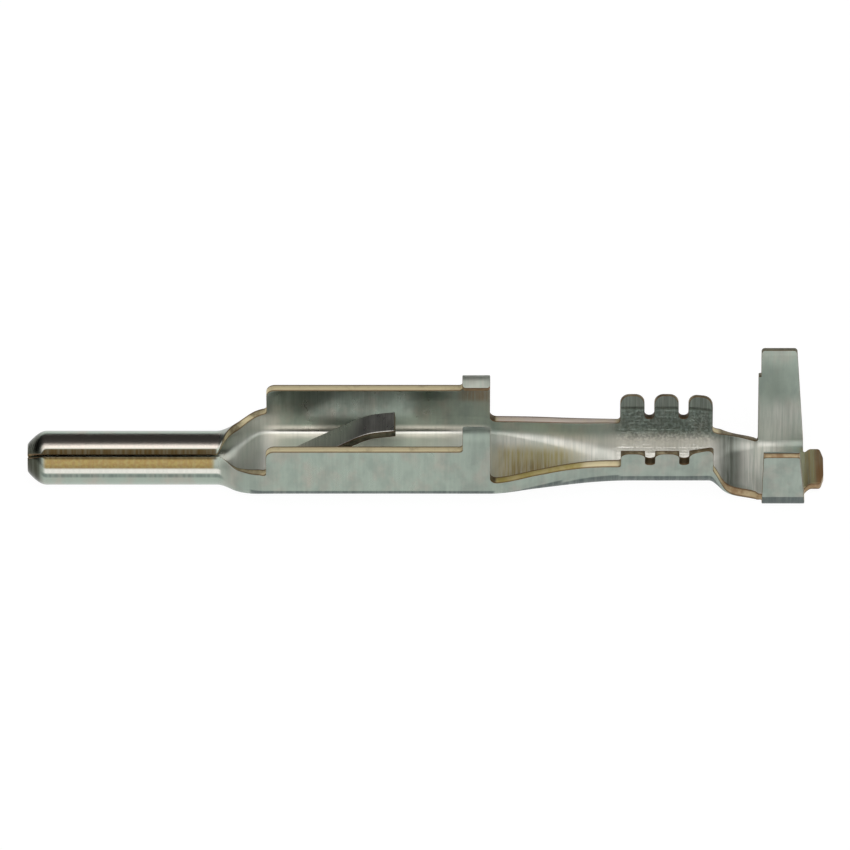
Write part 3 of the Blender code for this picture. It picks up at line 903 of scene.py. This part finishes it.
def knurled(point, step, depth):
    """Point of the blank after a worn knurl is pressed in, with every other point left high."""
    row, column = round(point.x / step), round(point.y / step)
    share = 1 - KNURL_WEAR if row % 2 or column % 2 else 0.0
    if in_knurl(point):
        wear = abs(noise.cell(Vector((row, column, KNURL_LAYER))))
        point.z -= depth * (share + KNURL_WEAR * wear)
    return point


def form_strip(strip, sections, finish):
    """Coin, knurl and bend the flat blank, and keep its flat places as a map."""
    mesh = strip.data
    flat = mesh.uv_layers.new(name="flat_strip")
    for loop in mesh.loops:
        flat.data[loop.index].uv = mesh.vertices[loop.vertex_index].co.xy
    height = mesh.attributes.new("sheet_height", "FLOAT", "POINT")
    facets = set()
    known = {}
    for vertex in mesh.vertices:
        point = vertex.co / MM
        height.data[vertex.index].value = point.z / SHEET * 2
        if in_knurl(point):
            facets.add(vertex.index)
        station = round(point.x, DECIMALS)
        if station not in known:
            known[station] = section_at(sections, station)
        fingers = (TROUGH_END, BARREL_END, finger_edge(), FINGER_COIN, FINGER_COIN_DEPTH)
        point = knurled(point, finish.knurl_pitch / 2, finish.knurl_depth)
        point = coined(point, *fingers)
        point = coined(point, NECK_END, WING_END, wing_edge(), WING_COIN, WING_COIN_DEPTH)
        vertex.co = formed(known[station], point)
    for edge in mesh.edges:
        edge.use_edge_sharp = facets.issuperset(edge.vertices)
    mesh.update()


# Materials


def add_node(tree, kind, inputs=(), **settings):
    """Add a node with its settings, and values or links for its inputs by name or number."""
    node = tree.nodes.new(kind)
    for name, value in settings.items():
        setattr(node, name, value)
    for name, value in dict(inputs).items():
        if isinstance(value, bpy.types.NodeSocket):
            tree.links.new(value, node.inputs[name])
        else:
            node.inputs[name].default_value = value
    return node


def smooth_range(tree, value, source, target):
    """Map a value smoothly from one range to another."""
    limits = {"From Min": source[0], "From Max": source[1], "To Min": target[0], "To Max": target[1]}
    kind = "ShaderNodeMapRange"
    inputs = {"Value": value, **limits}
    return add_node(tree, kind, inputs, interpolation_type="SMOOTHSTEP").outputs["Result"]


def between(tree, value, span, soft):
    """Mask that is 1 where a value lies in a span, with soft ends."""
    low, high = span
    rising = smooth_range(tree, value, (low - soft / 2, low + soft / 2), (0, 1))
    falling = smooth_range(tree, value, (high + soft / 2, high - soft / 2), (0, 1))
    return add_node(tree, "ShaderNodeMath", {0: rising, 1: falling}, operation="MULTIPLY").outputs[0]


def new_material(name):
    """Material with its node tree and its principled shader."""
    material = bpy.data.materials.new(name)
    material.use_nodes = True
    tree = material.node_tree
    return material, tree, tree.nodes["Principled BSDF"]


def flat_strip(tree):
    """Place on the flat strip for a material, in millimetres."""
    return add_node(tree, "ShaderNodeUVMap", uv_map="flat_strip").outputs[0]


def strip_place(tree, axis):
    """Place on the flat strip along X, its length, or Y, its width, in millimetres."""
    return add_node(tree, "ShaderNodeSeparateXYZ", {0: flat_strip(tree)}).outputs[axis]


def sheet_height(tree):
    """Height in the sheet, from -1 on its under face to 1 on its upper face."""
    return add_node(tree, "ShaderNodeAttribute", attribute_name="sheet_height").outputs["Fac"]


def stretched_noise(tree, size, detail):
    """Noise on the flat strip, its spots with a size in millimetres along and across."""
    inputs = {"Vector": flat_strip(tree), "Scale": (1 / size[0], 1 / size[1], 1.0)}
    place = add_node(tree, "ShaderNodeMapping", inputs).outputs[0]
    inputs = {"Vector": place, "Scale": 1.0, "Detail": detail, "Roughness": NOISE_ROUGHNESS}
    return add_node(tree, "ShaderNodeTexNoise", inputs).outputs["Fac"]


def solid_noise(tree, size, detail):
    """Noise through the whole piece, its spots with a size in millimetres."""
    place = add_node(tree, "ShaderNodeTexCoord").outputs["Object"]
    inputs = {"Vector": place, "Scale": MM / size, "Detail": detail, "Roughness": NOISE_ROUGHNESS}
    return add_node(tree, "ShaderNodeTexNoise", inputs).outputs["Fac"]


def mixed_colour(tree, share, first, second):
    """Mix of two colours, each a socket or a colour setting."""
    sides = [side if isinstance(side, bpy.types.NodeSocket) else (*side, 1) for side in (first, second)]
    inputs = {0: share, 6: sides[0], 7: sides[1]}
    return add_node(tree, "ShaderNodeMix", inputs, data_type="RGBA").outputs[2]


def mixed_number(tree, share, first, second):
    """Mix of two numbers, each a socket or a plain number."""
    return add_node(tree, "ShaderNodeMix", {0: share, 2: first, 3: second}).outputs[0]


def unsigned(tree, value):
    """Value without its sign."""
    return add_node(tree, "ShaderNodeMath", {0: value}, operation="ABSOLUTE").outputs[0]


def product(tree, *factors):
    """Product of numbers, each a socket or a plain number."""
    result = factors[0]
    for factor in factors[1:]:
        result = add_node(tree, "ShaderNodeMath", {0: result, 1: factor}, operation="MULTIPLY").outputs[0]
    return result


def laid_stains_and_light(tree, colour_socket, patches, finish, lines):
    """Lay stains, painted highlights and painted shade over a colour, broken up by the lines of the
    strip.
    """
    along = strip_place(tree, "X")
    across = strip_place(tree, "Y")
    apart = unsigned(tree, across)
    height = sheet_height(tree)
    speckles = solid_noise(tree, *SPECKLES)
    for patch in patches:
        sideways = apart if patch.both_sides else across
        pattern, ends = (speckles, SPECKLE_RANGE) if patch.speckled else (lines, STREAK_RANGE)
        masks = [
            between(tree, along, patch.stations, patch.soft * SOFTER_ALONG),
            between(tree, sideways, patch.across, patch.soft),
            smooth_range(tree, pattern, ends, (patch.amount * (1 - patch.streaks), patch.amount)),
        ]
        if patch.skin:
            masks.append(smooth_range(tree, height, (0.0, patch.skin * SKIN_HEIGHT), (0, 1)))
        mask = product(tree, *masks)
        colour_socket = mixed_colour(tree, mask, colour_socket, getattr(finish, patch.colour))
    return colour_socket


def tin_plate(finish):
    """Pre-tinned strip: satin tin over brass, rolled, so faint lines run across the strip.

    The tin is bright where tools have rubbed it and dull elsewhere, and where it is thin
    the brass below shows through it as a warm tarnish. Painted highlights and painted
    shade are laid over it in patches.
    """
    material, tree, shader = new_material("tin_plate")
    along = strip_place(tree, "X")
    burnished = between(tree, along, BURNISHED, BURNISHED_SOFT)
    unburnished = smooth_range(tree, burnished, *SHARE_OFF_PIN)

    # Clouds of dull and of warm tin, and the faint lines of the rolls
    clouds = stretched_noise(tree, *CLOUDS)
    warmth = stretched_noise(tree, *WARMTH)
    lines = stretched_noise(tree, *ROLL_LINES)
    tin = mixed_colour(tree, smooth_range(tree, warmth, *WARM_SHARE), finish.tin, finish.blush_tin)
    for pattern, share in ((clouds, DULL_SHARE), (lines, LINE_SHARE)):
        dulling = product(tree, smooth_range(tree, pattern, *share), unburnished)
        tin = mixed_colour(tree, dulling, tin, finish.dull_tin)
    # Stains, with painted highlights and painted shade, laid over the tin
    tin = laid_stains_and_light(tree, tin, TIN_STAINS_AND_LIGHT, finish, lines)
    tree.links.new(tin, shader.inputs["Base Color"])

    # Satin where it is formed, dull and part oxide where no tool rubs it, burnished on the pin
    rough = smooth_range(tree, clouds, *SATIN_ROUGHNESS)
    metal = 1.0
    for span, soft in DULLED:
        is_dull = between(tree, along, span, soft)
        rough = mixed_number(tree, is_dull, rough, smooth_range(tree, clouds, *DULL_ROUGHNESS))
        metal = mixed_number(tree, is_dull, metal, smooth_range(tree, clouds, *DULL_METAL))
    rough = mixed_number(tree, burnished, rough, finish.pin_roughness)
    tree.links.new(rough, shader.inputs["Roughness"])
    tree.links.new(metal, shader.inputs["Metallic"])
    relief = add_node(tree, "ShaderNodeBump", {"Height": lines, **LINE_RELIEF}).outputs[0]
    inputs = {"Height": solid_noise(tree, *GRAIN), "Normal": relief, **GRAIN_RELIEF}
    relief = add_node(tree, "ShaderNodeBump", inputs).outputs[0]
    tree.links.new(relief, shader.inputs["Normal"])
    return material


def sheared_brass(finish):
    """Sheared edge of brass strip: bare, warm and torn, with painted shade as a dark line at both its
    borders.
    """
    material, tree, shader = new_material("sheared_brass")
    tears = solid_noise(tree, *TEARS)
    torn = smooth_range(tree, tears, *TORN_SHARE)
    brass = mixed_colour(tree, torn, finish.brass, finish.dark_brass)
    # Stains, with painted shade on the cut edges of the lance, laid over the brass
    brass = laid_stains_and_light(tree, brass, EDGE_STAINS_AND_SHADE, finish, tears)
    # Painted shade: a dark line along both borders of each cut face
    painted_border_shade = smooth_range(tree, unsigned(tree, sheet_height(tree)), *BORDER_SHADE_SHARE)
    brass = mixed_colour(tree, painted_border_shade, brass, finish.dark_brass)
    tree.links.new(brass, shader.inputs["Base Color"])
    relief = add_node(tree, "ShaderNodeBump", {"Height": tears, **TEAR_RELIEF}).outputs[0]
    tree.links.new(relief, shader.inputs["Normal"])
    shader.inputs["Metallic"].default_value = BRASS_METAL
    shader.inputs["Roughness"].default_value = BRASS_ROUGHNESS
    return material


# Operators


class CONTACT_OT_form_strip(Operator):
    """Stamp the blank, score it, form it and finish it in tin with bare brass edges"""

    bl_idname = "contact.form_strip"
    bl_label = "Form the strip"

    def execute(self, context):
        finish = context.scene.strip_finish
        strip = stamp_blank(finish.edge_round)
        mesh = strip.data
        mesh.materials.clear()
        for material in (tin_plate(finish), sheared_brass(finish)):
            mesh.materials.append(material)
        for face in mesh.polygons:
            face.material_index = 1 if abs(face.normal.z) < EDGE_NORMAL else 0
        sections = section_list()
        knurl_step = finish.knurl_pitch / 2
        score(row_stations(sections, knurl_step), across=False)
        score(column_places(knurl_step), across=True)
        form_strip(strip, sections, finish)
        make_active(strip)
        bpy.ops.object.shade_smooth_by_angle(angle=SMOOTH_ANGLE, keep_sharp_edges=True)
        strip.modifiers.new("flat_faces", "WEIGHTED_NORMAL").keep_sharp = True
        bpy.ops.object.modifier_apply(modifier="flat_faces")
        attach(strip, "root")
        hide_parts("crimp_pin_contact")
        return {"FINISHED"}


class CONTACT_OT_set_stage(Operator):
    """Lay the pale floor and set the light and the camera"""

    bl_idname = "contact.set_stage"
    bl_label = "Set the stage"

    def execute(self, context):
        stage = context.scene.stage_settings
        deselect_all()
        bpy.ops.mesh.primitive_plane_add(size=PAPER_WIDTH)
        ground = context.active_object
        ground.name = "floor"
        bpy.ops.object.mode_set(mode="EDIT")
        upwards = {"value": (0, 0, PAPER_RISE)}
        bpy.ops.mesh.extrude_edges_move(TRANSFORM_OT_translate=upwards)
        bpy.ops.object.mode_set(mode="OBJECT")
        ground.data.materials.append(pale_floor())
        light_room(context.scene, stage)
        aim_camera(context.scene, stage)
        context.scene.view_settings.view_transform = "Standard"
        return {"FINISHED"}


def pale_floor():
    """Matt white paper, which the camera and the metal see as near white."""
    material, tree, shader = new_material("white_paper")
    tree.nodes.remove(shader)
    output = tree.nodes["Material Output"]
    paper = add_node(tree, "ShaderNodeBsdfDiffuse", {"Color": PAPER_COLOUR}).outputs[0]
    white = add_node(tree, "ShaderNodeEmission", {"Color": WHITE, "Strength": PAPER_GLOW}).outputs[0]
    path = add_node(tree, "ShaderNodeLightPath")
    seen = path.outputs["Is Camera Ray"]
    for ray in ("Is Glossy Ray", "Is Transmission Ray"):
        inputs = {0: seen, 1: path.outputs[ray]}
        seen = add_node(tree, "ShaderNodeMath", inputs, operation="MAXIMUM").outputs[0]
    inputs = {0: product(tree, seen, PAPER_GLOW_SHARE), 1: paper, 2: white}
    mixed = add_node(tree, "ShaderNodeMixShader", inputs).outputs[0]
    tree.links.new(mixed, output.inputs["Surface"])
    return material


def light_room(scene, stage):
    """Light the contact from a lamp and a room that is bright overhead and in front, dark behind."""
    world = bpy.data.worlds.new("room")
    scene.world = world
    world.use_nodes = True
    tree = world.node_tree
    tree.nodes.clear()
    towards = add_node(tree, "ShaderNodeTexCoord").outputs["Generated"]
    aside, away, above = add_node(tree, "ShaderNodeSeparateXYZ", {0: towards}).outputs
    inputs = {0: above, 1: ROOM_LEAN, 2: away}
    leaning = add_node(tree, "ShaderNodeMath", inputs, operation="MULTIPLY_ADD").outputs[0]
    front = smooth_range(tree, leaning, *ROOM_FRONT)
    height = smooth_range(tree, above, *ROOM_HEIGHT)
    middle = smooth_range(tree, unsigned(tree, aside), *ROOM_ASIDE)
    lit = product(tree, stage.front, front, height, middle)
    level = add_node(tree, "ShaderNodeMath", {0: lit, 1: stage.back}, operation="ADD").outputs[0]
    room = add_node(tree, "ShaderNodeBackground", {"Color": WHITE, "Strength": level}).outputs[0]
    add_node(tree, "ShaderNodeOutputWorld", {"Surface": room})
    bpy.ops.object.light_add(type="AREA", location=(0, 0, LAMP_HEIGHT))
    lamp = bpy.context.active_object
    lamp.name = "soft_lamp"
    lamp.data.size = LAMP_SIZE
    lamp.data.energy = LAMP_ENERGY


def aim_camera(scene, stage):
    """Look down along +Y at the contact, from the photograph's angle and distance."""
    back = Vector((0, -cos(stage.elevation), sin(stage.elevation)))
    up = Vector((0, sin(stage.elevation), cos(stage.elevation)))
    pin_axis = Vector((AIM_ALONG, 0, PIN_DIAMETER / 2))
    aim = pin_axis + up * AIM_UP
    bpy.ops.object.camera_add(location=aim + back * stage.distance)
    camera = bpy.context.active_object
    camera.rotation_euler = (pi / 2 - stage.elevation, 0, 0)
    camera.data.sensor_width = SENSOR_WIDTH
    camera.data.lens = SENSOR_WIDTH * stage.distance / stage.frame_width
    camera.data.clip_start = NEAREST_SEEN
    camera.data.clip_end = FARTHEST_SEEN
    scene.camera = camera


class CONTACT_PT_panel(Panel):
    """Steps and settings of the contact"""

    bl_idname = "CONTACT_PT_panel"
    bl_label = "Crimp pin contact"
    bl_space_type = "VIEW_3D"
    bl_region_type = "UI"
    bl_category = "Contact"

    def draw(self, context):
        layout = self.layout
        for operator in (CONTACT_OT_form_strip, CONTACT_OT_set_stage):
            layout.operator(operator.bl_idname)
        for settings in (context.scene.strip_finish, context.scene.stage_settings):
            for name in settings.__annotations__:
                layout.prop(settings, name)


CLASSES = (
    StripFinish,
    StageSettings,
    CONTACT_OT_form_strip,
    CONTACT_OT_set_stage,
    CONTACT_PT_panel,
)


def register():
    for entry in CLASSES:
        bpy.utils.register_class(entry)
    bpy.types.Scene.strip_finish = PointerProperty(type=StripFinish)
    bpy.types.Scene.stage_settings = PointerProperty(type=StageSettings)


def unregister():
    del bpy.types.Scene.stage_settings
    del bpy.types.Scene.strip_finish
    for entry in reversed(CLASSES):
        bpy.utils.unregister_class(entry)


def main():
    """Make the whole scene in order."""
    register()
    bpy.ops.contact.form_strip()
    bpy.ops.contact.set_stage()


if __name__ == "__main__":
    main()
